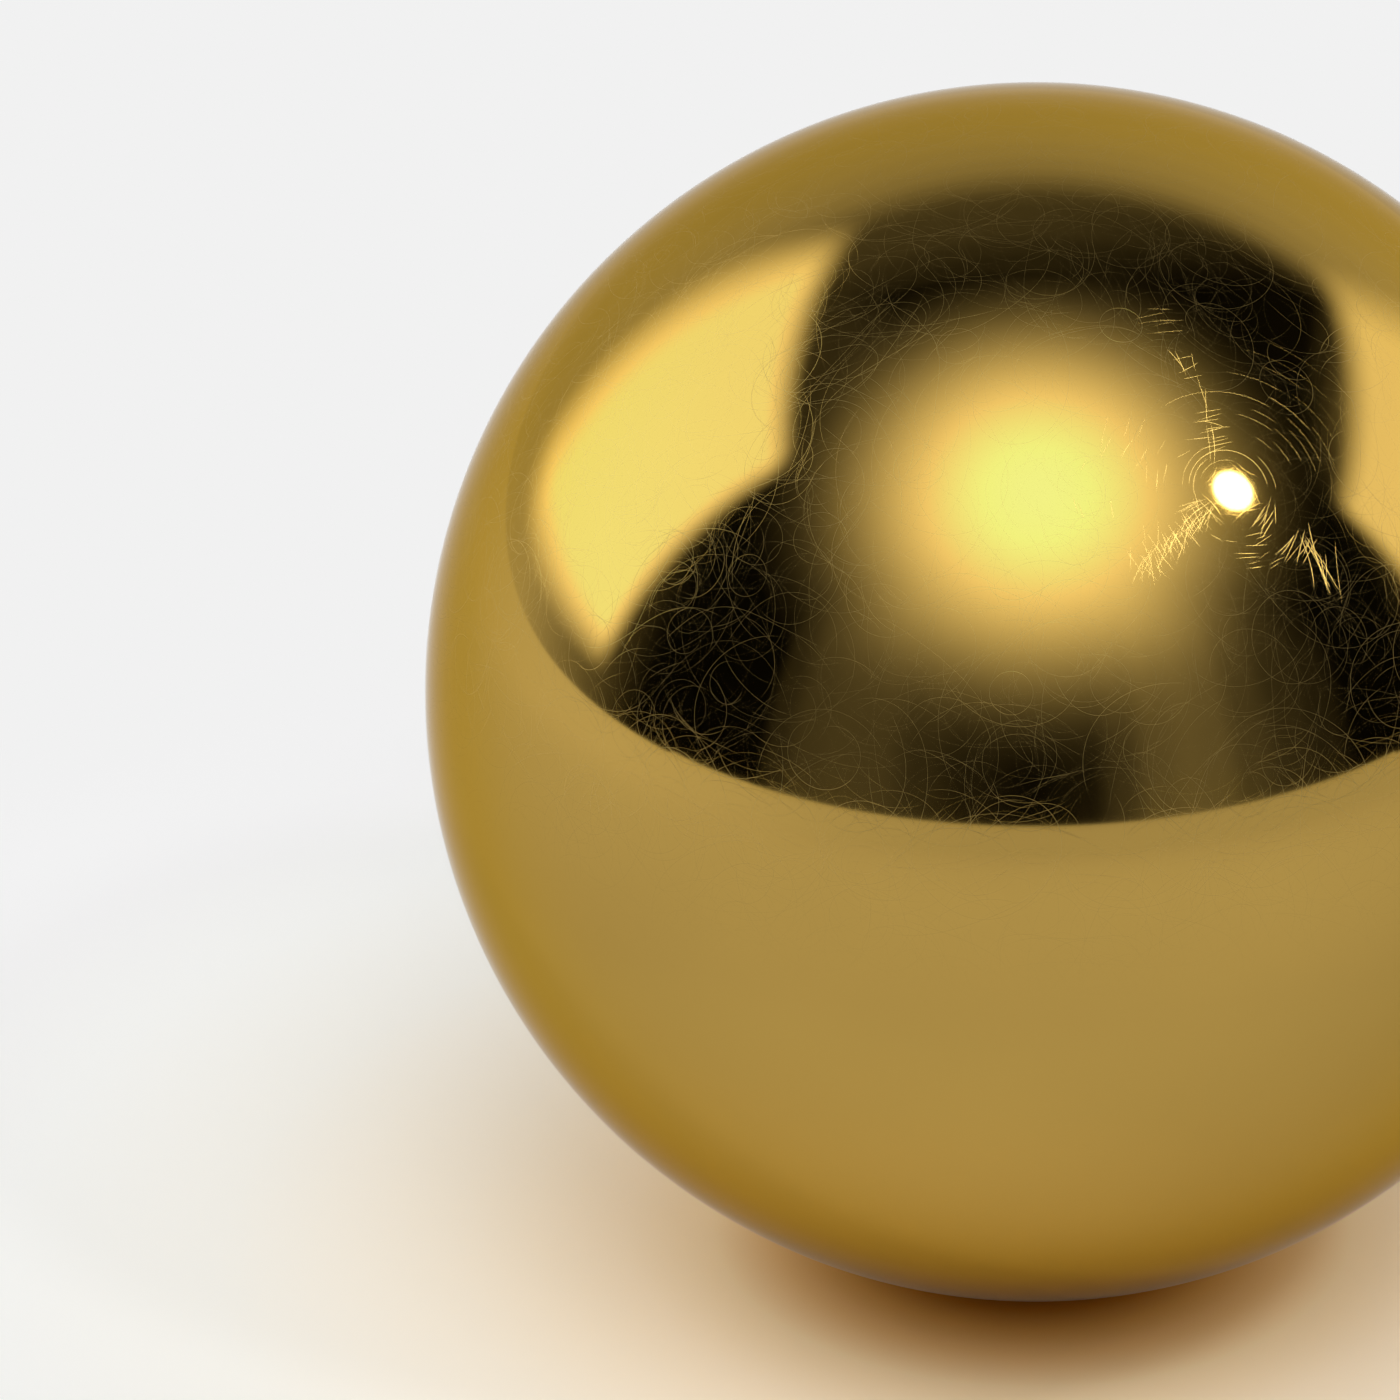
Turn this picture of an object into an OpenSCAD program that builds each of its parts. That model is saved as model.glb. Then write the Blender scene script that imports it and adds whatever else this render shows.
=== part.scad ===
// Solid brass sphere: a plain ball, turned, ground and polished in one piece.
// It has no bore, flat, seam or thread, so it is one closed solid.
// Millimetres, +Z up, origin at the centre of the sphere.

/* [Sphere] */
// Diameter of the finished sphere
sphere_d = 50; // [25:0.5:80]

/* [Hidden] */

sphere_r = sphere_d / 2;
brass_colour = [0.80, 0.61, 0.23];

// Finest facets of the preview: the surface itself is a true sphere
$fa = 2;
$fs = 0.5;

// Right half of the turning section: a half disc with its straight side on the spin axis
module turning_section() {
    intersection() {
        circle(r = sphere_r);
        translate([0, -sphere_r])
            square([sphere_r, sphere_d]);
    }
}

// The whole ball: the turning section spun once round the vertical axis
module brass_sphere() {
    color(brass_colour)
        rotate_extrude(angle = 360)
            turning_section();
}

brass_sphere();
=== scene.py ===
import math

import bpy
import numpy as np
from mathutils import Matrix, Vector


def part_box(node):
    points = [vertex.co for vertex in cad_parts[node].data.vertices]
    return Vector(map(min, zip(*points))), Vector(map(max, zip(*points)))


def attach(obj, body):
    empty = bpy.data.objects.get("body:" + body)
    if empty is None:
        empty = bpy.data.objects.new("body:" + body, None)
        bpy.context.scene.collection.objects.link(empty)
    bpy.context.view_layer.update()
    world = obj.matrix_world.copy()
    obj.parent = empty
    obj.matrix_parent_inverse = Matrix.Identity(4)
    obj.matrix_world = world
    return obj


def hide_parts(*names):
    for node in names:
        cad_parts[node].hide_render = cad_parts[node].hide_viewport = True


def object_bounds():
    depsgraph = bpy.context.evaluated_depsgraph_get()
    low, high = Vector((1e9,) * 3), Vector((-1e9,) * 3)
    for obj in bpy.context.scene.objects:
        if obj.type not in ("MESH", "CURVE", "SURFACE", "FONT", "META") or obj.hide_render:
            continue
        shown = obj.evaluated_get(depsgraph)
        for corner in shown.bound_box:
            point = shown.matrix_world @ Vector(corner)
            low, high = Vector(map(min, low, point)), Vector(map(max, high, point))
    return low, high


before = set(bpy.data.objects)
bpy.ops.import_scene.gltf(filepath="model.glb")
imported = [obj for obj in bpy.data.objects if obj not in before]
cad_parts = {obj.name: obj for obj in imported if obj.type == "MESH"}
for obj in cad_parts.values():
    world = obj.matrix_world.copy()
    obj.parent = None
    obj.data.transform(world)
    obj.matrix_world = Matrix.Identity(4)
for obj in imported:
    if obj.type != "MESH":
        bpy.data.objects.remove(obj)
cadLow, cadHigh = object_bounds()

ballLow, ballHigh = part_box("brass_sphere")
ballRadius = (ballHigh.z - ballLow.z) / 2
mm = 0.001


def direction(azimuth, elevation):
    # azimuth 0 is towards the camera's side (-Y), 90 is to the right (+X)
    a, e = math.radians(azimuth), math.radians(elevation)
    return Vector((math.sin(a) * math.cos(e), -math.cos(a) * math.cos(e), math.sin(e)))


# small helpers for node trees

def addNode(tree, kind, x=0, y=0, **settings):
    node = tree.nodes.new(kind)
    node.location = (x, y)
    for name, value in settings.items():
        setattr(node, name, value)
    return node


def join(tree, output, node, name):
    tree.links.new(output, node.inputs[name])


def math2(tree, operation, a, b=None, c=None, clamp=False):
    node = addNode(tree, "ShaderNodeMath", operation=operation, use_clamp=clamp)
    for slot, value in enumerate((a, b, c)):
        if value is None:
            continue
        if isinstance(value, (int, float)):
            node.inputs[slot].default_value = value
        else:
            tree.links.new(value, node.inputs[slot])
    return node.outputs[0]


def vector2(tree, operation, a, b=None, scale=None):
    node = addNode(tree, "ShaderNodeVectorMath", operation=operation)
    for slot, value in enumerate((a, b)):
        if value is None:
            continue
        if isinstance(value, (tuple, list)):
            node.inputs[slot].default_value = value
        else:
            tree.links.new(value, node.inputs[slot])
    if scale is not None:
        if isinstance(scale, (int, float)):
            node.inputs["Scale"].default_value = scale
        else:
            tree.links.new(scale, node.inputs["Scale"])
    return node.outputs["Value"] if operation in ("DOT_PRODUCT", "LENGTH") else node.outputs["Vector"]


# the camera

cameraView = {
    "elevation": 24.0,          # degrees above the floor
    "distanceInRadii": 9.0,     # from the ball's centre
    "ballShare": 0.8695,        # the ball's width as a share of the picture's
    "rightOfCentre": 0.2399,    # the ball's centre, as a share of the picture's width
    "aboveCentre": 0.0058,
    "sensorMm": 36,
    "seesFromTo": (0.01, 50),   # metres
}


def makeCamera():
    v = cameraView
    back = direction(0, v["elevation"])
    right = Vector((1, 0, 0))
    up = back.cross(right)
    sine = 1 / v["distanceInRadii"]
    # half the picture's width, one unit in front of the camera
    halfWidth = sine / math.sqrt(1 - sine * sine) / v["ballShare"]
    # the ball stands off centre, so the camera is turned a little away from it
    turn = math.atan(2 * v["rightOfCentre"] * halfWidth * (1 - sine * sine))
    tilt = math.atan(2 * v["aboveCentre"] * halfWidth)
    data = bpy.data.cameras.new("pictureCamera")
    data.sensor_width = v["sensorMm"]
    data.lens = data.sensor_width / 2 / halfWidth
    data.clip_start, data.clip_end = v["seesFromTo"]
    camera = bpy.data.objects.new("pictureCamera", data)
    bpy.context.scene.collection.objects.link(camera)
    facing = Matrix((right, up, back)).transposed()
    spun = facing @ Matrix.Rotation(turn, 3, "Y") @ Matrix.Rotation(-tilt, 3, "X")
    camera.matrix_world = Matrix.Translation(back * ballRadius * v["distanceInRadii"]) @ spun.to_4x4()
    bpy.context.scene.camera = camera
    return camera


camera = makeCamera()
print("camera placed, lens", round(camera.data.lens, 1), "mm")


# the ball: a cube's grid blown up to a sphere, so that its patches are all about the same size

ballShape = {
    "patchesPerSide": 128,      # along each of the cube's edges
    "mapMargin": 0.994,         # the share of its place on the map that each side of the cube fills
}


def makeBallTree():
    tree = bpy.data.node_groups.new("roundBall", "GeometryNodeTree")
    face = tree.interface
    face.new_socket("Radius", in_out="INPUT", socket_type="NodeSocketFloat")
    face.new_socket("Patches Per Side", in_out="INPUT", socket_type="NodeSocketInt")
    face.new_socket("Metal", in_out="INPUT", socket_type="NodeSocketMaterial")
    face.new_socket("Geometry", in_out="OUTPUT", socket_type="NodeSocketGeometry")
    start = addNode(tree, "NodeGroupInput", -900)
    corners = addNode(tree, "ShaderNodeMath", -700, -100, operation="ADD")
    join(tree, start.outputs["Patches Per Side"], corners, 0)
    corners.inputs[1].default_value = 1
    cube = addNode(tree, "GeometryNodeMeshCube", -500, 0)
    cube.inputs["Size"].default_value = (2, 2, 2)
    for name in ("Vertices X", "Vertices Y", "Vertices Z"):
        join(tree, corners.outputs[0], cube, name)
    # equal angles across each side of the cube keep the patches even
    place = addNode(tree, "GeometryNodeInputPosition", -900, -300)
    angle = vector2(tree, "SCALE", place.outputs["Position"], scale=math.pi / 4)
    spread = vector2(tree, "TANGENT", angle)
    outward = vector2(tree, "NORMALIZE", spread)
    onBall = vector2(tree, "SCALE", outward, scale=start.outputs["Radius"])
    move = addNode(tree, "GeometryNodeSetPosition", -100, 0)
    join(tree, cube.outputs["Mesh"], move, "Geometry")
    join(tree, onBall, move, "Position")
    smooth = addNode(tree, "GeometryNodeSetShadeSmooth", 100, 0)
    join(tree, move.outputs["Geometry"], smooth, "Geometry")
    real = addNode(tree, "GeometryNodeRealizeInstances", 300, 0)
    join(tree, smooth.outputs["Geometry"], real, "Geometry")
    metal = addNode(tree, "GeometryNodeSetMaterial", 500, 0)
    join(tree, real.outputs["Geometry"], metal, "Geometry")
    join(tree, start.outputs["Metal"], metal, "Material")
    end = addNode(tree, "NodeGroupOutput", 700, 0)
    join(tree, metal.outputs["Geometry"], end, "Geometry")
    return tree


def makeBall(material):
    seedMesh = bpy.data.meshes.new("ballSeed")
    ball = bpy.data.objects.new("brassBall", seedMesh)
    bpy.context.scene.collection.objects.link(ball)
    tree = makeBallTree()
    modifier = ball.modifiers.new("roundBall", "NODES")
    modifier.node_group = tree
    wanted = {"Radius": ballRadius, "Patches Per Side": ballShape["patchesPerSide"], "Metal": material}
    for item in tree.interface.items_tree:
        if item.name in wanted and item.in_out == "INPUT":
            modifier[item.identifier] = wanted[item.name]
    graph = bpy.context.evaluated_depsgraph_get()
    mesh = bpy.data.meshes.new_from_object(ball.evaluated_get(graph), depsgraph=graph)
    ball.modifiers.clear()
    ball.data = mesh
    mesh.name = "brassBall"
    bpy.data.meshes.remove(seedMesh)
    return ball


# hairline scratches: wandering strokes drawn over the ball, kept on the patches that they cross

scratches = {
    "seed": 12,
    "strokes": 15000,           # over the whole ball
    "lengthMm": 5.2,            # middle value
    "lengthSpread": 0.5,        # 0.5 puts most within half and double, here and below
    "lengthLeastMm": 1.5,
    "lengthMostMm": 13.0,
    "bendRadiusMm": 2.5,        # middle value of how tightly a stroke curls
    "bendSpread": 0.5,
    "bendTightestMm": 0.8,
    "swing": 0.4,               # how far a stroke's bend swings, as a share of the middle bend
    "swingSpread": 0.6,
    "waveMm": (4.0, 14.0),      # over which it swings
    "follow": 0.5,              # share that runs beside another stroke
    "besideMm": 0.45,           # how far from it
    "alongMm": 1.5,             # how far ahead of it or behind it
    "askew": 0.08,
    "unlike": 0.05,             # how much its bends differ
    "halfWidthMm": (0.005, 0.009),
    "steepness": (0.05, 0.12),  # of a groove's walls
    "steepnessSkew": 1.5,       # above 1, more of them are shallow
    "taperMm": 1.8,             # over which a stroke's end runs out
    "stepMm": 0.06,
    "layers": 20,               # strokes that one patch can hold
}

# burrs lean one way, towards the spot that mirrors the small lamp; they glint in three arms and in arcs
# round it
burrs = {
    "spot": (22.4, 40.0),       # azimuth and elevation on the ball
    "lean": 1.0,
    "calmMm": 4.5,              # the grooves round the spot are shallower
    "calmShare": 0.8,
    "halfWidthMm": (0.010, 0.016),
    "strength": (0.8, 1.5),
    "taperMm": 0.3,
    "slantSpread": 7,           # degrees
    "bendSpread": 0.15,         # radians per mm
    # bearing from the spot (0 is up), reach and width in mm, number, slants from the arm, length in mm
    "arms": (
        dict(bearing=1.5, reach=(1.9, 2.1), width=0.04, count=1, slants=(3,), length=(1.6, 1.8)),
        dict(bearing=-7, reach=(1.9, 2.1), width=0.04, count=1, slants=(16,), length=(1.4, 1.5)),
        dict(bearing=1, reach=(3.2, 4.6), width=0.05, count=2, slants=(-3, 6), length=(1.3, 1.6)),
        dict(bearing=2.4, reach=(5.2, 5.4), width=0.05, count=1, slants=(2,), length=(0.9, 1.1)),
        dict(bearing=-3.2, reach=(4.9, 6.3), width=0.05, count=2, slants=(0, 8), length=(1.0, 1.2)),
        dict(bearing=1, reach=(1.6, 3.3), width=0.10, count=10, slants=(78, 84), length=(0.8, 1.15)),
        dict(bearing=-1, reach=(4.3, 5.8), width=0.12, count=3, slants=(76, 84), length=(0.6, 0.9)),
        dict(bearing=-4.5, reach=(6.6, 8.1), width=0.35, count=7, slants=(92, 104), length=(0.9, 1.3)),
        dict(bearing=-118, reach=(1.1, 1.9), width=0.26, count=17, slants=(98, 172), length=(0.9, 1.3)),
        dict(bearing=-123, reach=(1.8, 3.2), width=0.16, count=24, slants=(103, 164), length=(0.8, 1.2)),
        dict(bearing=-119.5, reach=(3.1, 4.9), width=0.2, count=30, slants=(100, 130, 162),
             length=(0.8, 1.3)),
        dict(bearing=138, reach=(1.4, 2.1), width=0.2, count=8, slants=(76, 84), length=(0.7, 1.2)),
        dict(bearing=138, reach=(0.9, 1.1), width=0.02, count=1, slants=(163,), length=(0.5, 0.6)),
        dict(bearing=143, reach=(2.9, 3.8), width=0.22, count=8, slants=(75, 87, 97), length=(0.9, 1.5)),
        dict(bearing=138.5, reach=(3.8, 5.1), width=0.2, count=10, slants=(16, 29, 45), length=(1.3, 2.4)),
        dict(bearing=-70, reach=(1.8, 6.0), width=1.4, count=20, slants=(86, 98), length=(0.5, 1.0)),
        dict(bearing=170, reach=(1.5, 3.4), width=0.6, count=14, slants=(86, 98), length=(0.5, 1.0)),
    ),
    # arcs round the spot: radius in mm, from one bearing to another, strength
    "arcs": ((1.15, -60, 30, 0.8), (1.38, -85, -20, 0.9), (1.55, -75, 95, 1.1), (1.80, -72, -10, 0.9),
             (1.85, 50, 100, 0.8), (2.5, 38, 62, 0.4), (2.8, 52, 78, 0.36), (3.15, 20, 52, 0.4),
             (3.3, 48, 80, 0.36), (3.55, 30, 50, 0.48), (3.7, 55, 88, 0.4), (4.0, -26, 42, 0.48),
             (4.05, 50, 84, 0.4), (4.4, 36, 66, 0.48), (4.6, 62, 86, 0.4), (4.9, 14, 44, 0.32),
             (5.1, 46, 74, 0.32), (5.6, 30, 50, 0.32), (6.1, 22, 62, 0.28), (6.8, 30, 52, 0.28)),
}


def unit(v):
    return v / np.linalg.norm(v, axis=-1, keepdims=True)


def walk(place, heading, curlAt, steps):
    # paths on a ball of radius 1; curlAt gives each stroke's bend at a step, in radians per mm
    stepMm = scratches["stepMm"]
    step = stepMm * mm / ballRadius
    points = np.empty((len(place), steps, 3))
    for i in range(steps):
        points[:, i] = place
        turn = (curlAt(i) * stepMm)[:, None]
        moved = place * math.cos(step) + heading * math.sin(step)
        heading = heading * math.cos(step) - place * math.sin(step)
        place = moved
        heading = unit(heading * np.cos(turn) + np.cross(place, heading) * np.sin(turn))
    return points


def wanderingStrokes(rng):
    # the points of each stroke, how many of them it has, and its length in mm
    s = scratches
    count = s["strokes"]
    length = s["lengthMm"] * np.exp(rng.normal(0, s["lengthSpread"], count))
    length = np.clip(length, s["lengthLeastMm"], s["lengthMostMm"])
    used = (length / s["stepMm"]).astype(int)
    place = unit(rng.normal(size=(count, 3)))
    heading = unit(np.cross(place, rng.normal(size=(count, 3))))
    bend = rng.choice((-1, 1), count) / (s["bendRadiusMm"] * np.exp(rng.normal(0, s["bendSpread"], count)))
    swing = s["swing"] / (s["bendRadiusMm"] * np.exp(rng.normal(0, s["swingSpread"], count)))
    wave = rng.uniform(*s["waveMm"], count)
    phase = rng.uniform(0, 2 * math.pi, count)
    # some strokes run beside an earlier one, a little apart and a little askew
    followers = np.flatnonzero(rng.random(count) < s["follow"])
    followers = followers[followers > 0]
    leaders = (rng.random(len(followers)) * followers).astype(int)
    for values in (bend, swing, wave, phase):
        values[followers] = values[leaders] * rng.normal(1, s["unlike"], len(followers))
    side = np.cross(place[leaders], heading[leaders])
    apart = rng.normal(0, s["besideMm"], (len(followers), 1)) * mm / ballRadius
    along = rng.normal(0, s["alongMm"], (len(followers), 1)) * mm / ballRadius
    place[followers] = unit(place[leaders] + side * apart + heading[leaders] * along)
    askew = heading[leaders] + side * rng.normal(0, s["askew"], (len(followers), 1))
    heading[followers] = unit(askew - place[followers] * (askew * place[followers]).sum(-1, keepdims=True))
    tightest = 1 / s["bendTightestMm"]

    def curlAt(i):
        curl = bend + swing * np.sin(2 * math.pi * i * s["stepMm"] / wave + phase)
        return np.clip(curl, -tightest, tightest)

    return walk(place, heading, curlAt, used.max() + 1), used, length


def around(spot, bearing, distance):
    # the place at a bearing and a distance in mm from the spot, and the heading there that runs on from it
    up = unit(np.array((0, 0, 1)) - spot * spot[2])
    right = np.cross(up, spot)
    bearing = np.radians(bearing)[:, None]
    outward = up * np.cos(bearing) + right * np.sin(bearing)
    angle = (distance * mm / ballRadius)[:, None]
    return spot * np.cos(angle) + outward * np.sin(angle), outward * np.cos(angle) - spot * np.sin(angle)


def burrStrokes(rng, steps):
    b = burrs
    spot = np.array(direction(*b["spot"]))
    places, headings, bends, lengths, strengths = [], [], [], [], []
    for arm in b["arms"]:
        n = arm["count"]
        near, far = arm["reach"]
        distance = near + (far - near) * (np.arange(n) + rng.random(n)) / n
        sideways = np.degrees(rng.normal(0, arm["width"], n) / distance)
        place, outward = around(spot, arm["bearing"] + sideways, distance)
        slant = np.radians(rng.choice(arm["slants"], n) + rng.normal(0, b["slantSpread"], n))[:, None]
        heading = outward * np.cos(slant) + np.cross(outward, place) * np.sin(slant)
        length = rng.uniform(*arm["length"], n)
        places.append(unit(place - heading * (length * mm / ballRadius / 2)[:, None]))
        headings.append(heading)
        bends.append(rng.normal(0, b["bendSpread"], n))
        lengths.append(length)
        strengths.append(rng.uniform(*b["strength"], n))
    arcs = np.array(b["arcs"])
    radius = arcs[:, 0]
    place, outward = around(spot, arcs[:, 1], radius)
    places.append(place)
    headings.append(np.cross(outward, place))
    bends.append(-1 / radius)
    lengths.append(radius * np.radians(arcs[:, 2] - arcs[:, 1]))
    strengths.append(arcs[:, 3])
    place, bend, length, strength = (np.concatenate(v) for v in (places, bends, lengths, strengths))
    heading = np.concatenate(headings)
    heading = unit(heading - place * (heading * place).sum(-1, keepdims=True))
    used = (length / scratches["stepMm"]).astype(int)
    return walk(place, heading, lambda i: bend, steps), used, length, strength


def patchUnder(points, patches):
    # the number of the patch under each direction, counted over the cube's six sides
    axis = np.abs(points).argmax(-1)[..., None]
    main = np.take_along_axis(points, axis, -1)
    cells = []
    for turn in (1, 2):
        share = np.arctan(np.take_along_axis(points, (axis + turn) % 3, -1) / np.abs(main)) * 4 / math.pi
        cells.append(np.clip(((share + 1) / 2 * patches).astype(int), 0, patches - 1))
    side = axis * 2 + (main > 0)
    return ((side * patches + cells[0]) * patches + cells[1])[..., 0]


def patchVisits(points, used, halfWidth, patches):
    # each run of a stroke over a patch, also where only the stroke's edge reaches it
    count, steps = points.shape[:2]
    ahead = np.roll(points, -1, axis=1) - points
    ahead[:, -1] = ahead[:, -2]
    side = unit(np.cross(points, ahead))
    inside = np.arange(steps)[None] < used[:, None]
    runs = []
    for share in (-1, 0, 1):
        under = patchUnder(points + side * (share * halfWidth)[:, None, None], patches)
        under = np.where(inside, under, -1)
        begins = np.ones((count, steps), bool)
        begins[:, 1:] = under[:, 1:] != under[:, :-1]
        first = np.flatnonzero(begins)
        last = np.append(first[1:], count * steps) - 1
        patch = under.ravel()[first]
        keep = patch >= 0
        runs.append(np.stack([patch, first // steps, first % steps, last % steps], 1)[keep])
    runs = np.concatenate(runs)
    runs = runs[np.lexsort((runs[:, 2], runs[:, 1], runs[:, 0]))]
    # runs of one stroke over one patch that overlap become one visit; each pair's steps are counted far
    # above those of the pair before it
    pair = runs[:, 0] * count + runs[:, 1]
    group = np.cumsum(np.append(0, np.diff(pair) != 0)) * (steps * 4)
    reached = np.maximum.accumulate(runs[:, 3] + group)
    new = np.append(True, runs[1:, 2] + group[1:] > reached[:-1] + 1)
    at = np.flatnonzero(new)
    return (runs[at, 0], runs[at, 1], np.minimum.reduceat(runs[:, 2], at),
            np.maximum.reduceat(runs[:, 3], at))


def circlesThrough(points, stroke, first, last, halfWidth):
    # on each patch a circle through three points stands for the stroke; returns the circles' planes, measured
    # in half widths, and the step, the place and the heading at their middle points
    low = np.maximum(first - 2, 0)
    high = np.minimum(last + 2, points.shape[1] - 1)
    middle = (low + high) // 2
    a, b, c = points[stroke, low], points[stroke, middle], points[stroke, high]
    flat = unit(np.cross(b - a, c - b))
    height = (flat * b).sum(-1)
    scale = 1 / (halfWidth[stroke] * np.sqrt(1 - height ** 2))
    planes = np.concatenate([-flat * scale[:, None], (height * scale)[:, None]], 1)
    return planes, middle, b, unit(c - a)


def ranksOnPatches(patch, depths, groove):
    # burrs and then the deepest grooves come first where a patch has too many
    order = np.lexsort((np.where(groove, -depths, depths - 1), patch))
    rank = np.arange(len(order))
    fresh = np.append(True, patch[order][1:] != patch[order][:-1])
    rank -= np.maximum.accumulate(np.where(fresh, rank, 0))
    return order, rank


def cornerPlaces(mesh):
    # where the four corners of each face are
    places = np.empty(len(mesh.vertices) * 3)
    mesh.vertices.foreach_get("co", places)
    corners = np.empty(len(mesh.loops), int)
    mesh.loops.foreach_get("vertex_index", corners)
    return places.reshape(-1, 3)[corners].reshape(-1, 4, 3)


def keepOnFaces(mesh, name, values):
    mesh.attributes.new(name, "FLOAT_COLOR", "FACE").data.foreach_set("color", values.ravel())


def drawScratches(ball):
    s = scratches
    patches = ballShape["patchesPerSide"]
    rng = np.random.default_rng(s["seed"])
    points, used, length = wanderingStrokes(rng)
    grooves = len(used)
    halfWidth = rng.uniform(*s["halfWidthMm"], grooves)
    shallowest, steepest = s["steepness"]
    steep = shallowest + (steepest - shallowest) * rng.random(grooves) ** s["steepnessSkew"]
    burrPoints, burrUsed, burrLength, strength = burrStrokes(rng, points.shape[1])
    points = np.concatenate([points, burrPoints])
    used = np.append(used, burrUsed)
    length = np.append(length, burrLength)
    halfWidth = np.append(halfWidth, rng.uniform(*burrs["halfWidthMm"], len(strength))) * mm / ballRadius
    patch, stroke, first, last = patchVisits(points, used, halfWidth, patches)
    planes, middle, middlePlace, ahead = circlesThrough(points, stroke, first, last, halfWidth)

    # a groove's depth is above zero and a burr's below; round the spot the grooves are shallower
    spot = np.array(direction(*burrs["spot"]))
    far = np.linalg.norm(middlePlace - spot, axis=-1) * ballRadius / mm / burrs["calmMm"]
    calm = 1 - burrs["calmShare"] * np.exp(-far ** 2)
    groove = stroke < grooves
    depths = np.where(groove, np.append(steep, strength)[stroke] * halfWidth[stroke] * calm, 0)
    depths[~groove] = -strength[stroke[~groove] - grooves]
    taper = np.where(groove, s["taperMm"], burrs["taperMm"])
    order, rank = ranksOnPatches(patch, depths, groove)

    mesh = ball.data
    faces = len(mesh.polygons)
    corners = unit(cornerPlaces(mesh))
    centres = unit(corners.mean(1))
    faceOfPatch = np.empty(faces, int)
    faceOfPatch[patchUnder(centres, patches)] = np.arange(faces)
    for layer in range(s["layers"]):
        mine = order[rank == layer]
        face = faceOfPatch[patch[mine]]
        plane = np.zeros((faces, 4), np.float32)
        plane[face] = planes[mine]
        keepOnFaces(mesh, f"scratchPlane{layer}", plane)
        # how deep the stroke is at the patch's corners: it runs out at both ends
        reach = corners[face] - middlePlace[mine][:, None]
        along = middle[mine, None] * s["stepMm"] + (reach * ahead[mine][:, None]).sum(-1) * ballRadius / mm
        left = np.minimum(along, length[stroke[mine], None] - along) / taper[mine, None]
        fade = np.clip(left, 0, 1)
        depth = np.zeros((faces, 4), np.float32)
        depth[face] = depths[mine, None] * fade * fade * (3 - 2 * fade)
        kept = mesh.attributes.new(f"scratchDepth{layer}", "FLOAT", "CORNER")
        kept.data.foreach_set("value", depth.ravel())
    lean = np.zeros((faces, 4), np.float32)
    lean[:, :3] = (spot - centres * (centres @ spot)[:, None]) * burrs["lean"]
    keepOnFaces(mesh, "burrLean", lean)
    print("scratches drawn:", grooves, "grooves,", len(strength), "burrs,", len(order), "crossings,",
          int((rank >= s["layers"]).sum()), "left out")


def finishBallMesh(ball):
    # exact outward normals, and a map that gives each side of the cube the same share of a square
    mesh = ball.data
    patches, margin = ballShape["patchesPerSide"], ballShape["mapMargin"]
    mesh.normals_split_custom_set_from_vertices([v.co.normalized() for v in mesh.vertices])
    corners = cornerPlaces(mesh)
    side = patchUnder(corners.mean(1), patches) // (patches * patches)
    axis = side // 2
    rows = np.arange(len(axis))[:, None]
    lane = np.arange(4)[None]
    main = np.abs(corners[rows, lane, axis[:, None]])
    share = [np.arctan(corners[rows, lane, (axis[:, None] + turn) % 3] / main) * 4 / math.pi
             for turn in (1, 2)]
    share[0] = np.where((side % 2 == 0)[:, None], -share[0], share[0])
    u = (axis[:, None] + 0.5 + share[0] / 2 * margin) / 3
    v = ((side % 2)[:, None] + 0.5 + share[1] / 2 * margin) / 2
    layer = mesh.uv_layers.new(name="OFBake")
    layer.data.foreach_set("uv", np.stack([u, v], -1).astype(np.float32).ravel())


# the brass

brass = {
    "colour": (0.445, 0.285, 0.066),
    "edgeTint": (0.75, 0.62, 0.40),
    "toneShift": 0.02,           # how far the colour strays from patch to patch
    "toneSizeMm": 9.0,
    "toneDetail": 2,
    "roughness": 0.055,
    "wipeMarks": 0.012,          # how far the roughness strays where hands and cloths have been
    "wipeSizeMm": 3.0,
    "wipeDetail": 3,
    "scratchRoughness": 0.02,    # added in a scratch
    # the torn metal in a scratch, and the most of the surface it takes up
    "tornColour": (0.56, 0.405, 0.145),
    "tornRoughness": 0.5,
    "tornShare": 0.28,
    "tornFrom": (-0.1, 0.25),    # height, in ball radii, over which the scratches begin to show torn metal
    "burrColour": (0.15, 0.102, 0.028),
    "burrRoughness": 0.16,
    "burrEdge": 8,               # how sharply a burr begins
}


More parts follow.
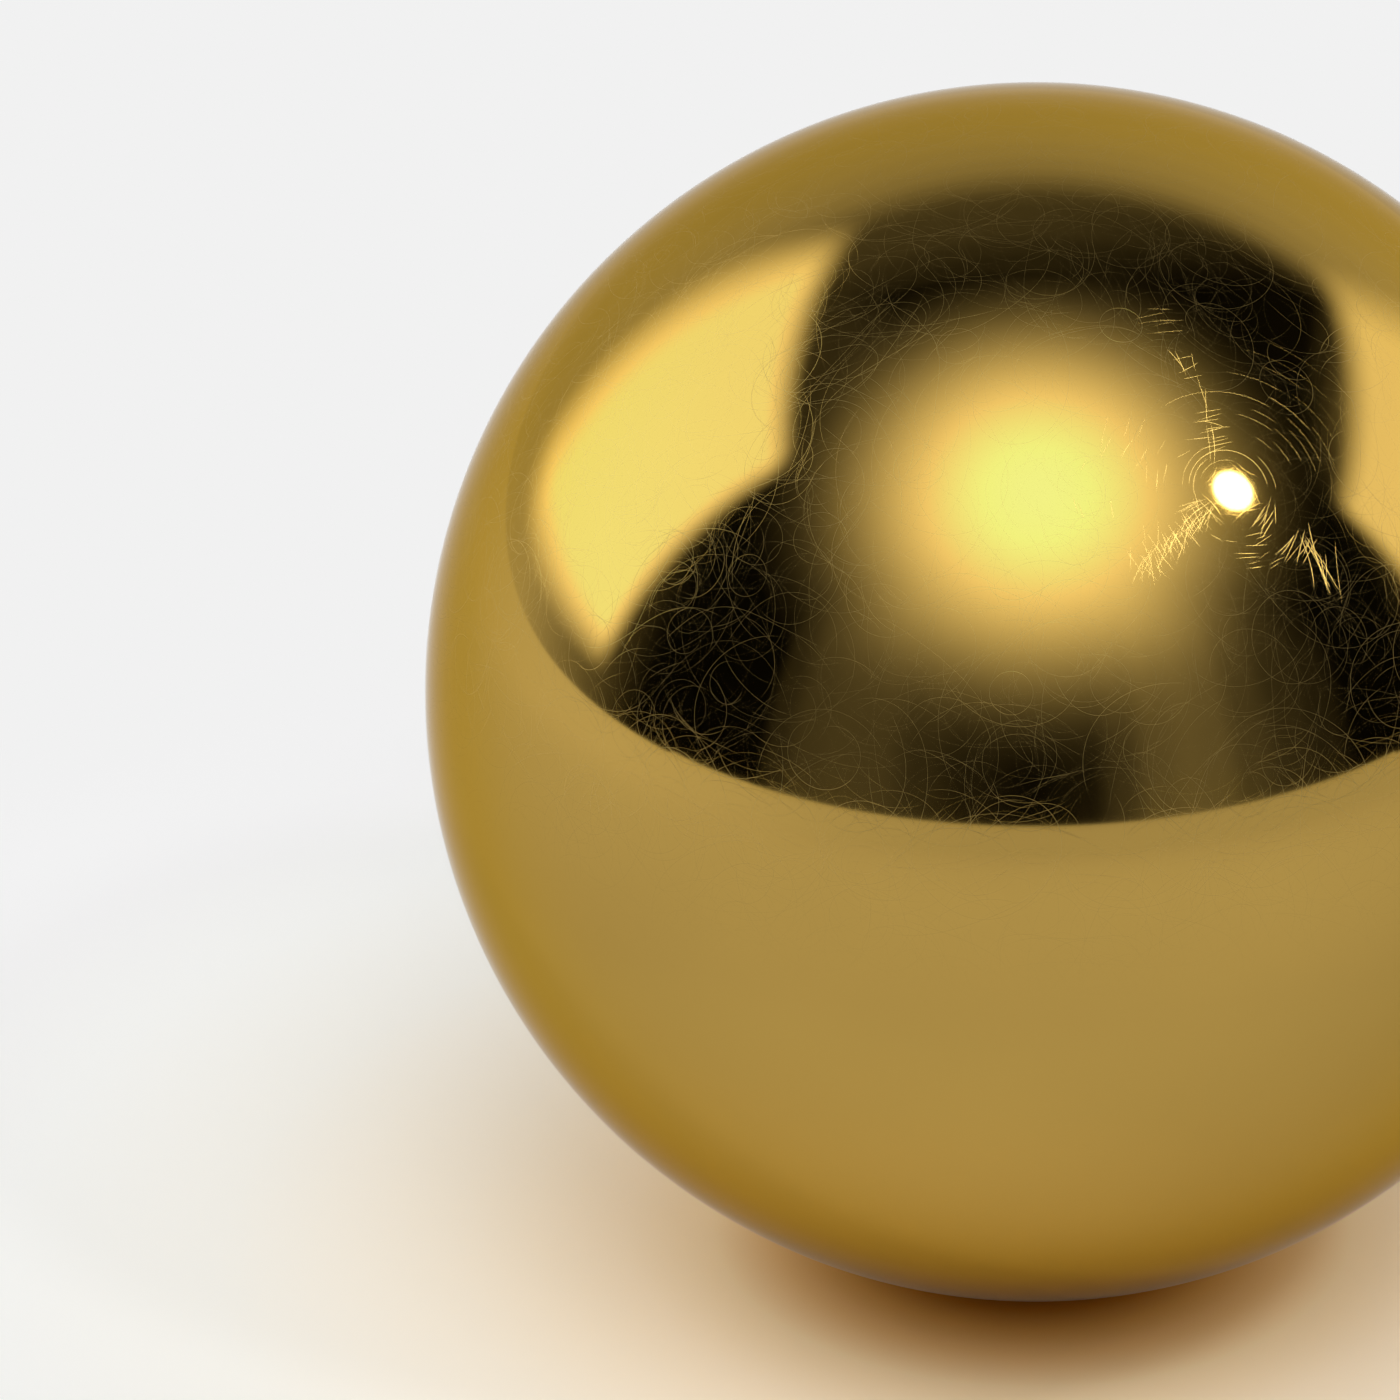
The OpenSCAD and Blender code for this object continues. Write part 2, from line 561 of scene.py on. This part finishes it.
def makeScratchGroup():
    # one stroke: its slope, mark and burr are added to those that come in
    tree = bpy.data.node_groups.new("scratchStroke", "ShaderNodeTree")
    face = tree.interface
    for name, kind in (("Place", "Vector"), ("Plane", "Vector"), ("Offset", "Float"), ("Depth", "Float"),
                       ("Slope", "Vector"), ("Marks", "Float"), ("Burrs", "Float")):
        face.new_socket(name, in_out="INPUT", socket_type="NodeSocket" + kind)
    face.new_socket("Slope", in_out="OUTPUT", socket_type="NodeSocketVector")
    face.new_socket("Marks", in_out="OUTPUT", socket_type="NodeSocketFloat")
    face.new_socket("Burrs", in_out="OUTPUT", socket_type="NodeSocketFloat")
    start = addNode(tree, "NodeGroupInput", -900)
    across = math2(tree, "ADD", vector2(tree, "DOT_PRODUCT", start.outputs["Place"], start.outputs["Plane"]),
                   start.outputs["Offset"])
    room = math2(tree, "SUBTRACT", 1, math2(tree, "MULTIPLY", across, across), clamp=True)
    rounded = math2(tree, "MULTIPLY", room, room)
    groove = math2(tree, "MAXIMUM", start.outputs["Depth"], 0)
    burr = math2(tree, "MAXIMUM", math2(tree, "MULTIPLY", start.outputs["Depth"], -1), 0)
    wall = math2(tree, "MULTIPLY", rounded, across)
    # the steepest part of the wall is brought to the depth that is asked for
    wallGain = 3.5
    amount = math2(tree, "MULTIPLY", math2(tree, "MULTIPLY", wall, groove), -wallGain)
    slope = vector2(tree, "ADD", vector2(tree, "SCALE", start.outputs["Plane"], scale=amount),
                    start.outputs["Slope"])
    end = addNode(tree, "NodeGroupOutput", 700)
    join(tree, slope, end, "Slope")
    join(tree, math2(tree, "MULTIPLY_ADD", room, groove, start.outputs["Marks"]), end, "Marks")
    join(tree, math2(tree, "MULTIPLY_ADD", rounded, burr, start.outputs["Burrs"]), end, "Burrs")
    return tree


def smoothRise(tree, value, low, high):
    node = addNode(tree, "ShaderNodeMapRange", interpolation_type="SMOOTHSTEP")
    node.inputs["From Min"].default_value = low
    node.inputs["From Max"].default_value = high
    join(tree, value, node, "Value")
    return node.outputs["Result"]


def softNoise(tree, place, sizeMm, detail):
    # 0 to 1, about 0.5 on the whole
    noise = addNode(tree, "ShaderNodeTexNoise", -600, 600)
    noise.inputs["Scale"].default_value = 1 / (sizeMm * mm)
    noise.inputs["Detail"].default_value = detail
    join(tree, place, noise, "Vector")
    return noise.outputs["Fac"]


def tippedNormal(tree, surface, place, slope):
    # only the part of the slope that lies along the surface tips the normal
    outward = vector2(tree, "DOT_PRODUCT", slope, place)
    along = vector2(tree, "SUBTRACT", slope, vector2(tree, "SCALE", place, scale=outward))
    turned = addNode(tree, "ShaderNodeVectorTransform", 800, -200, vector_type="VECTOR",
                     convert_from="OBJECT", convert_to="WORLD")
    join(tree, along, turned, "Vector")
    tipped = vector2(tree, "ADD", surface.outputs["Normal"], turned.outputs["Vector"])
    return vector2(tree, "NORMALIZE", tipped)


def makeBrass():
    material = bpy.data.materials.new("polishedBrass")
    material.use_nodes = True
    tree = material.node_tree
    tree.nodes.clear()
    group = makeScratchGroup()
    spot = addNode(tree, "ShaderNodeTexCoord", -1800, 0)
    place = vector2(tree, "NORMALIZE", spot.outputs["Object"])
    last = {}
    for layer in range(scratches["layers"]):
        plane = addNode(tree, "ShaderNodeAttribute", -1500 + 200 * layer, -300,
                        attribute_type="GEOMETRY", attribute_name=f"scratchPlane{layer}")
        depth = addNode(tree, "ShaderNodeAttribute", -1500 + 200 * layer, -600,
                        attribute_type="GEOMETRY", attribute_name=f"scratchDepth{layer}")
        stroke = addNode(tree, "ShaderNodeGroup", -1400 + 200 * layer, 0, node_tree=group)
        join(tree, place, stroke, "Place")
        join(tree, plane.outputs["Color"], stroke, "Plane")
        join(tree, plane.outputs["Alpha"], stroke, "Offset")
        join(tree, depth.outputs["Fac"], stroke, "Depth")
        for name, output in last.items():
            join(tree, output, stroke, name)
        last = {name: stroke.outputs[name] for name in ("Slope", "Marks", "Burrs")}
    surface = addNode(tree, "ShaderNodeNewGeometry", 800, -400)
    normal = tippedNormal(tree, surface, place, last["Slope"])
    # a burr's torn metal faces the way that mirrors the lamp
    onBurr = math2(tree, "MULTIPLY", last["Burrs"], brass["burrEdge"], clamp=True)
    lean = addNode(tree, "ShaderNodeAttribute", 600, -600,
                   attribute_type="GEOMETRY", attribute_name="burrLean")
    leaning = tippedNormal(tree, surface, place, vector2(tree, "SCALE", lean.outputs["Color"], scale=onBurr))
    middleDepth = sum(scratches["steepness"]) / 2 * sum(scratches["halfWidthMm"]) / 2 * mm / ballRadius
    scuffed = math2(tree, "MINIMUM", math2(tree, "DIVIDE", last["Marks"], middleDepth), 1)
    wiped = softNoise(tree, spot.outputs["Object"], brass["wipeSizeMm"], brass["wipeDetail"])
    rough = math2(tree, "MULTIPLY_ADD", wiped, brass["wipeMarks"],
                  brass["roughness"] - brass["wipeMarks"] / 2)
    rough = math2(tree, "MULTIPLY_ADD", scuffed, brass["scratchRoughness"], rough)
    strays = softNoise(tree, spot.outputs["Object"], brass["toneSizeMm"], brass["toneDetail"])
    # most of the noise lies between 0.25 and 0.75
    tone = math2(tree, "MULTIPLY_ADD", strays, 4 * brass["toneShift"], 1 - 2 * brass["toneShift"])
    shader = addNode(tree, "ShaderNodeBsdfPrincipled", 1300, 0)
    join(tree, vector2(tree, "SCALE", brass["colour"], scale=tone), shader, "Base Color")
    shader.inputs["Metallic"].default_value = 1
    shader.inputs["Specular Tint"].default_value = (*brass["edgeTint"], 1)
    join(tree, rough, shader, "Roughness")
    join(tree, normal, shader, "Normal")
    torn = addNode(tree, "ShaderNodeBsdfPrincipled", 1300, -500)
    change = [b - t for b, t in zip(brass["burrColour"], brass["tornColour"])]
    join(tree, vector2(tree, "ADD", brass["tornColour"], vector2(tree, "SCALE", change, scale=onBurr)), torn,
         "Base Color")
    torn.inputs["Metallic"].default_value = 1
    join(tree, math2(tree, "MULTIPLY_ADD", onBurr, brass["burrRoughness"] - brass["tornRoughness"],
                     brass["tornRoughness"]), torn, "Roughness")
    join(tree, leaning, torn, "Normal")
    parts = addNode(tree, "ShaderNodeSeparateXYZ", 1000, -700)
    join(tree, place, parts, "Vector")
    handled = math2(tree, "MULTIPLY", smoothRise(tree, parts.outputs["Z"], *brass["tornFrom"]),
                    brass["tornShare"])
    share = math2(tree, "MAXIMUM", math2(tree, "MULTIPLY", scuffed, handled),
                  math2(tree, "MINIMUM", last["Burrs"], 1))
    mix = addNode(tree, "ShaderNodeMixShader", 1500, 0)
    join(tree, share, mix, 0)
    tree.links.new(shader.outputs["BSDF"], mix.inputs[1])
    tree.links.new(torn.outputs["BSDF"], mix.inputs[2])
    end = addNode(tree, "ShaderNodeOutputMaterial", 1700, 0)
    join(tree, mix.outputs[0], end, "Surface")
    return material


ball = makeBall(makeBrass())
drawScratches(ball)
finishBallMesh(ball)
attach(ball, "root")
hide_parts("brass_sphere")
print("ball made:", len(ball.data.polygons), "patches")


# the studio: everything here is staging, and none of the lamps shows to the camera

studio = {
    "white": 0.88,              # the background as the camera sees it
    "darkRoom": 0.004,          # what the metal sees between the lamps
    "mirroredLimit": (1.98, 3.06, 3.6),  # each colour's brightest as the metal shows the big lamps
    "discSides": 48,
}


def emissionTree(name):
    # a plain light with a strength of 1, and the material's end
    material = bpy.data.materials.new(name)
    material.use_nodes = True
    tree = material.node_tree
    tree.nodes.clear()
    light = addNode(tree, "ShaderNodeEmission", 600, 0)
    light.inputs["Strength"].default_value = 1
    end = addNode(tree, "ShaderNodeOutputMaterial", 1000, 0)
    return material, tree, light, end


def addedToView(tree, light, end, clearness=None):
    # the light is added to whatever lies behind it
    seeThrough = addNode(tree, "ShaderNodeBsdfTransparent", 600, -200)
    if clearness is not None:
        join(tree, clearness, seeThrough, "Color")
    both = addNode(tree, "ShaderNodeAddShader", 800, 0)
    tree.links.new(light.outputs[0], both.inputs[0])
    tree.links.new(seeThrough.outputs[0], both.inputs[1])
    join(tree, both.outputs[0], end, "Surface")


def limitedGlow(tree, glow):
    # the limits hold only for what the metal mirrors, so the light on the floor stays neutral
    path = addNode(tree, "ShaderNodeLightPath", 100, 300)
    colour = addNode(tree, "ShaderNodeCombineColor", 300, 0)
    for name, limit in zip(("Red", "Green", "Blue"), studio["mirroredLimit"]):
        held = math2(tree, "MINIMUM", glow, limit)
        less = math2(tree, "MULTIPLY", math2(tree, "SUBTRACT", held, glow), path.outputs["Is Glossy Ray"])
        join(tree, math2(tree, "ADD", glow, less), colour, name)
    return colour.outputs["Color"]


def stageMesh(name, vertices, faces, material, camera=False):
    mesh = bpy.data.meshes.new(name)
    mesh.from_pydata(vertices, [], faces)
    mesh.materials.append(material)
    thing = bpy.data.objects.new(name, mesh)
    bpy.context.scene.collection.objects.link(thing)
    thing.visible_camera = camera
    return thing


def stageDisc(name, radius, material):
    sides = studio["discSides"]
    turns = [k * math.tau / sides for k in range(sides)]
    rim = [(radius * math.cos(turn), radius * math.sin(turn), 0) for turn in turns]
    return stageMesh(name, rim, [tuple(range(sides))], material)


def standOnFloor(wall, larger):
    wall.scale = (larger,) * 3
    wall.location.z = cadLow.z


def placesOf(tree):
    spot = addNode(tree, "ShaderNodeTexCoord", -1200, 0)
    parts = addNode(tree, "ShaderNodeSeparateXYZ", -1000, 0)
    join(tree, spot.outputs["Object"], parts, "Vector")
    return parts.outputs["X"], parts.outputs["Y"], parts.outputs["Z"]


def setStops(node, stops, low, high):
    # stops: (place, colour) pairs, with places from low to high
    line = node.color_ramp
    while len(line.elements) < len(stops):
        line.elements.new(0.5)
    for element, (at, colour) in zip(line.elements, stops):
        element.position = (at - low) / (high - low)
        element.color = (*colour, 1)


def rampAlong(tree, value, stops):
    # stops: (place, glow) pairs; returns the glow at that place
    low, high = stops[0][0], stops[-1][0]
    node = addNode(tree, "ShaderNodeValToRGB", -300, 0)
    join(tree, math2(tree, "DIVIDE", math2(tree, "SUBTRACT", value, low), high - low), node, "Fac")
    node.color_ramp.interpolation = "EASE"
    setStops(node, [(at, (glow,) * 3) for at, glow in stops], low, high)
    return node.outputs["Color"]


def aimAtBall(thing, azimuth, elevation, distance):
    back = direction(azimuth, elevation)
    thing.rotation_mode = "QUATERNION"
    thing.rotation_quaternion = (-back).to_track_quat("-Z", "Y")
    thing.location = back * distance


softPanels = {
    # azimuth, elevation and distance of the plane; shift in it; glow at the top and the bottom; how its left,
    # right, bottom and top edges fade, and how far the left one leans; metres and degrees
    "leftSoftbox": dict(azimuth=-112, elevation=27, distance=0.68, shift=(0.0565, 0.0498),
                        size=(0.549, 0.5765), glow=(2.29, 2.54), fade=(0.24, 0.10, 0.12, 0.11), lean=0.17),
    "rightSoftbox": dict(azimuth=110, elevation=20, distance=0.70, shift=(-0.048, -0.0345),
                         size=(0.586, 0.581), glow=(1.76, 1.88), fade=(0.08, 0.22, 0.14, 0.10), lean=0.0),
}


def makeSoftPanel(name, azimuth, elevation, distance, shift, size, glow, fade, lean):
    material, tree, light, end = emissionTree(name)
    x, y, z = placesOf(tree)
    left, right = shift[0] - size[0] / 2, shift[0] + size[0] / 2
    bottom, top = shift[1] - size[1] / 2, shift[1] + size[1] / 2
    # half of each fade lies outside the panel's nominal edge
    leaning = math2(tree, "MULTIPLY_ADD", y, lean, x)
    sides = (smoothRise(tree, leaning, left - fade[0] / 2, left + fade[0] / 2),
             smoothRise(tree, x, right + fade[1] / 2, right - fade[1] / 2),
             smoothRise(tree, y, bottom - fade[2] / 2, bottom + fade[2] / 2),
             smoothRise(tree, y, top + fade[3] / 2, top - fade[3] / 2))
    shape = math2(tree, "MULTIPLY", math2(tree, "MULTIPLY", sides[0], sides[1]),
                  math2(tree, "MULTIPLY", sides[2], sides[3]))
    rise = math2(tree, "MULTIPLY_ADD", smoothRise(tree, y, top, bottom), glow[1] - glow[0], glow[0])
    join(tree, limitedGlow(tree, math2(tree, "MULTIPLY", rise, shape)), light, "Color")
    addedToView(tree, light, end, math2(tree, "SUBTRACT", 1, shape))
    right, bottom, top = right + fade[1] / 2, bottom - fade[2] / 2, top + fade[3] / 2
    left -= fade[0] / 2 + lean * top
    corners = [(left, bottom, 0), (right, bottom, 0), (right, top, 0), (left, top, 0)]
    panel = stageMesh(name, corners, [(0, 1, 2, 3)], material)
    aimAtBall(panel, azimuth, elevation, distance)


overhead = {
    "azimuth": 2.1,             # degrees
    "elevation": 59.4,
    "distance": 0.75,           # metres from the ball
    "spread": 0.345,            # metres over which it fades
    "edge": 0.9,                # metres from its middle, where the disc ends
    "glow": 3.42,
}


def makeOverhead():
    o = overhead
    material, tree, light, end = emissionTree("overheadGlow")
    spot = addNode(tree, "ShaderNodeTexCoord", -800, 0)
    out = math2(tree, "DIVIDE", vector2(tree, "LENGTH", spot.outputs["Object"]), o["spread"])
    fall = math2(tree, "POWER", math.e, math2(tree, "MULTIPLY", math2(tree, "MULTIPLY", out, out), -1))
    glow = math2(tree, "MULTIPLY", fall, o["glow"])
    join(tree, limitedGlow(tree, glow), light, "Color")
    addedToView(tree, light, end)
    disc = stageDisc("overheadGlow", o["edge"], material)
    aimAtBall(disc, o["azimuth"], o["elevation"], o["distance"])


keyLamp = {
    "azimuth": 58.4,            # degrees
    "elevation": 49.4,
    "distance": 0.6,            # metres from the ball
    "radius": 3.4,              # degrees, as the ball sees it
    "glow": 20.0,
}


def makeKeyLamp():
    k = keyLamp
    material, tree, light, end = emissionTree("keyLamp")
    light.inputs["Strength"].default_value = k["glow"]
    join(tree, light.outputs[0], end, "Surface")
    disc = stageDisc("keyLamp", k["distance"] * math.tan(math.radians(k["radius"])), material)
    aimAtBall(disc, k["azimuth"], k["elevation"], k["distance"])


paper = {
    "side": 20.0,               # metres from the ball to each edge
    "colour": 0.985,            # as it lights and shows in the brass
    "farGlow": 0.80,            # how the brass sees it far away
    "farLeft": 0.28,            # added far away to the left
    "farFrom": 4,               # in ball radii
    "farAt": 15,
    # its painted tint at so many ball radii from where the ball stands: a painted warm glow where the brass
    # throws light on it, and painted shadow, darkest close to its foot
    "paintedGlowAndShadow": ((0.27, (0.62, 0.24, 0.02)), (0.30, (0.78, 0.34, 0.05)), (0.36, (0.98, 0.57, 0.17)),
              (0.45, (1.14, 0.78, 0.37)), (0.55, (1.26, 1.01, 0.66)), (0.70, (1.24, 1.05, 0.79)),
              (1.00, (1.14, 1.05, 0.90)), (1.40, (1.06, 1.05, 1.00)), (1.80, (1.03, 1.04, 1.03)),
              (2.20, (0.98, 0.98, 0.99))),
    # the brass mirrors part of the painted glow and shadow, as a painted reflection
    "mirroredPaintedTint": 0.38,       # share of the tint that shows in the brass
    "plainFrom": 1.9,           # from here on, in ball radii, it fades into the plain background
    "plainAt": 2.9,
}


def makeFloor():
    p = paper
    material = bpy.data.materials.new("palePaper")
    material.use_nodes = True
    tree = material.node_tree
    tree.nodes.clear()
    spot = addNode(tree, "ShaderNodeTexCoord", -1000, 0)
    path = addNode(tree, "ShaderNodeLightPath", -1000, 400)
    seen = path.outputs["Is Camera Ray"]
    away = math2(tree, "DIVIDE", vector2(tree, "LENGTH", spot.outputs["Object"]), ballRadius)

    # near the ball it is lit paper; the camera sees a painted tint of warm glow and shadow, the metal some of
    # it, and the light that the paper scatters stays plain
    # the ramp's colours stay within 1: the painted tints are divided by the brightest and multiplied by it
    # below
    reach = p["paintedGlowAndShadow"][-1][0]
    brightest = max(max(colour) for at, colour in p["paintedGlowAndShadow"])
    ramp = addNode(tree, "ShaderNodeValToRGB", -400, 200)
    join(tree, math2(tree, "DIVIDE", away, reach), ramp, "Fac")
    setStops(ramp, [(at, [c / brightest for c in colour]) for at, colour in p["paintedGlowAndShadow"]], 0, reach)
    paintedTint = vector2(tree, "SCALE", ramp.outputs["Color"], scale=brightest)
    plain = (p["colour"],) * 3
    # glossy rays get a share of the painted glow and shadow, a painted reflection in the brass
    mirroredPaintedTint = math2(tree, "MULTIPLY", path.outputs["Is Glossy Ray"], p["mirroredPaintedTint"])
    looked = math2(tree, "MAXIMUM", seen, mirroredPaintedTint)
    shift = vector2(tree, "SCALE", vector2(tree, "SUBTRACT", paintedTint, plain), scale=looked)
    lit = addNode(tree, "ShaderNodeBsdfDiffuse", 200, 100)
    join(tree, vector2(tree, "ADD", shift, plain), lit, "Color")

    # farther off it glows by itself, at one level for the camera and at another for the metal
    pale = addNode(tree, "ShaderNodeEmission", 200, -100)
    parts = addNode(tree, "ShaderNodeSeparateXYZ", -800, -200)
    join(tree, vector2(tree, "NORMALIZE", spot.outputs["Object"]), parts, "Vector")
    toLeft = math2(tree, "MAXIMUM", math2(tree, "MULTIPLY", parts.outputs["X"], -1), 0)
    mirrored = math2(tree, "MULTIPLY_ADD", math2(tree, "POWER", toLeft, 2), p["farLeft"], p["farGlow"])
    level = math2(tree, "MULTIPLY_ADD", seen, math2(tree, "SUBTRACT", studio["white"], mirrored), mirrored)
    join(tree, level, pale, "Strength")
    near = smoothRise(tree, away, p["plainFrom"], p["plainAt"])
    far = smoothRise(tree, away, p["farFrom"], p["farAt"])
    blend = math2(tree, "MULTIPLY_ADD", seen, math2(tree, "SUBTRACT", near, far), far)
    mix = addNode(tree, "ShaderNodeMixShader", 400, 0)
    join(tree, blend, mix, 0)
    tree.links.new(lit.outputs[0], mix.inputs[1])
    tree.links.new(pale.outputs[0], mix.inputs[2])
    end = addNode(tree, "ShaderNodeOutputMaterial", 600, 0)
    join(tree, mix.outputs[0], end, "Surface")
    side = p["side"]
    floor = stageMesh("paperFloor", [(-side, -side, 0), (side, -side, 0), (side, side, 0), (-side, side, 0)],
                      [(0, 1, 2, 3)], material, camera=True)
    floor.location.z = cadLow.z
    material.cycles.emission_sampling = "NONE"


# three walls behind the ball, with sizes in metres before they are made larger
backdrop = {
    "larger": 2.5,
    "away": 1.2,
    "aside": 1.5,
    "begins": -0.6,             # the side walls' front edge
    "top": 4.2,
    "heights": ((0.0, 0.83), (0.2, 0.76), (0.5, 0.71), (0.7, 0.665), (0.9, 0.60), (1.1, 0.51), (1.2, 0.43),
                (1.3, 0.31), (1.4, 0.18), (1.5, 0.08), (1.6, 0.03), (1.8, 0.0)),
    "sideways": (1.035, 0.16),  # brightness at x = 0 over the value above, and its gain per metre rightwards
    "evenLeftOf": -0.5,         # x, where that gain ends
    "frontFade": (-0.42, 0.82),  # y, over which the side walls rise to their full brightness
    # the dim wall above it, which is darker to the right
    "dimHeights": ((1.2, 0.0), (1.5, 0.10), (1.8, 0.105), (2.2, 0.09), (2.8, 0.055), (3.5, 0.03), (4.2, 0.0)),
    "dimRight": 0.97,
    "dimRightFade": (-0.2, 1.5),
}


def makeBackdrop():
    b = backdrop
    material, tree, light, end = emissionTree("backdrop")
    x, y, z = placesOf(tree)
    height = rampAlong(tree, z, b["heights"])
    sideways = math2(tree, "MULTIPLY_ADD", math2(tree, "MAXIMUM", x, b["evenLeftOf"]), b["sideways"][1],
                     b["sideways"][0])
    front = smoothRise(tree, y, *b["frontFade"])
    bright = math2(tree, "MULTIPLY", math2(tree, "MULTIPLY", height, sideways), front)
    dim = math2(tree, "MULTIPLY", rampAlong(tree, z, b["dimHeights"]), front)
    toRight = math2(tree, "MULTIPLY_ADD", smoothRise(tree, x, *b["dimRightFade"]), -b["dimRight"], 1)
    glow = math2(tree, "MULTIPLY_ADD", dim, toRight, bright)
    join(tree, math2(tree, "ADD", glow, studio["darkRoom"]), light, "Strength")
    join(tree, light.outputs[0], end, "Surface")
    w, back, ahead = b["aside"], b["away"], b["begins"]
    foot = ((-w, ahead), (-w, back), (w, back), (w, ahead))
    corners = [(across, along, up) for up in (0, b["top"]) for across, along in foot]
    wall = stageMesh("backdrop", corners, [(0, 1, 5, 4), (1, 2, 6, 5), (2, 3, 7, 6)], material)
    standOnFloor(wall, b["larger"])
    material.cycles.emission_sampling = "NONE"


# a wall in front of the ball, behind the camera
frontWall = {
    "larger": 8.0,
    "away": 1.2,
    "top": 1.3,
    "fullTo": 0.6,              # share of the height below which it has its full brightness
    # x in metres and glow: two pale openings in a dark room
    "bands": ((-1.5, 0.0), (-1.3, 0.045), (-1.05, 0.105), (-0.85, 0.125), (-0.65, 0.118), (-0.44, 0.058),
              (-0.25, 0.024), (0.0, 0.004), (0.22, 0.016), (0.35, 0.088), (0.5, 0.20), (0.66, 0.245),
              (0.8, 0.225), (1.0, 0.125), (1.3, 0.06), (1.7, 0.03), (2.2, 0.0)),
}


def makeFrontWall():
    f = frontWall
    material, tree, light, end = emissionTree("frontWall")
    x, y, z = placesOf(tree)
    height = smoothRise(tree, z, f["top"], f["top"] * f["fullTo"])
    glow = math2(tree, "MULTIPLY", rampAlong(tree, x, f["bands"]), height)
    join(tree, math2(tree, "ADD", glow, studio["darkRoom"]), light, "Strength")
    join(tree, light.outputs[0], end, "Surface")
    left, right = f["bands"][0][0], f["bands"][-1][0]
    corners = [(left, -f["away"], 0), (right, -f["away"], 0), (right, -f["away"], f["top"]),
               (left, -f["away"], f["top"])]
    wall = stageMesh("frontWall", corners, [(0, 1, 2, 3)], material)
    standOnFloor(wall, f["larger"])
    material.cycles.emission_sampling = "NONE"


def makeRoom():
    world = bpy.data.worlds.new("room")
    bpy.context.scene.world = world
    world.use_nodes = True
    tree = world.node_tree
    tree.nodes.clear()
    path = addNode(tree, "ShaderNodeLightPath", -800, 0)
    level = math2(tree, "MULTIPLY_ADD", path.outputs["Is Camera Ray"], studio["white"] - studio["darkRoom"],
                  studio["darkRoom"])
    light = addNode(tree, "ShaderNodeBackground", 0, 0)
    light.inputs["Color"].default_value = (1, 1, 1, 1)
    join(tree, level, light, "Strength")
    end = addNode(tree, "ShaderNodeOutputWorld", 200, 0)
    join(tree, light.outputs[0], end, "Surface")


for name, values in softPanels.items():
    makeSoftPanel(name, **values)
makeOverhead()
makeKeyLamp()
makeFloor()
makeBackdrop()
makeFrontWall()
makeRoom()
bpy.context.scene.view_settings.view_transform = "Standard"
print("studio set up")
